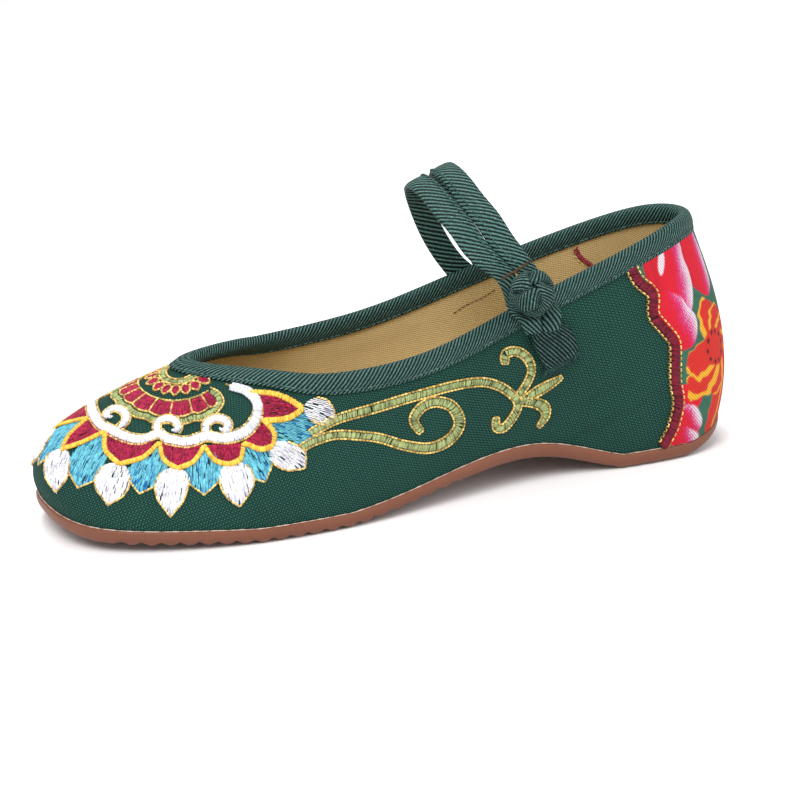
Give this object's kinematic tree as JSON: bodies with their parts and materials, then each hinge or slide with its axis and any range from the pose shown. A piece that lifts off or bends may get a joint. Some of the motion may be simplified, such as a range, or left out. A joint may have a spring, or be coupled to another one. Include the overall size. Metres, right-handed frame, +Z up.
{
  "type": "chinese cloth shoe",
  "caption": "Embroidered cotton cloth shoe with a thin ribbed rubber sole, a bound top line, a printed heel panel and a looped instep strap closed by a knotted button.",
  "frame": {"origin": "on the floor under the ball of the foot, in the middle of a rib of the sole", "axes": "-X towards the toe, +X towards the heel, -Y towards the wearer's outer (button) side, +Z up"},
  "size_m": [0.2412, 0.0887, 0.102],
  "materials": {
    "green canvas": "coarse plain weave cotton",
    "green twill tape": "fine twill tape",
    "amber rubber": "satin translucent crepe rubber",
    "cream lining": "plain woven cotton",
    "printed cotton": "peony print on plain cotton",
    "red satin stitch": "dense embroidery thread"
  },
  "bodies": {
    "root": {"outsole": "amber rubber", "insole": "cream lining", "upper": "green canvas", "topline_binding": "green twill tape", "heel_panel": "printed cotton", "heel_edging_outer": "red satin stitch", "heel_edging_inner": "red satin stitch", "strap": "green twill tape", "button_knot": "green twill tape", "button_tab": "green twill tape"}
  },
  "joints": []
}
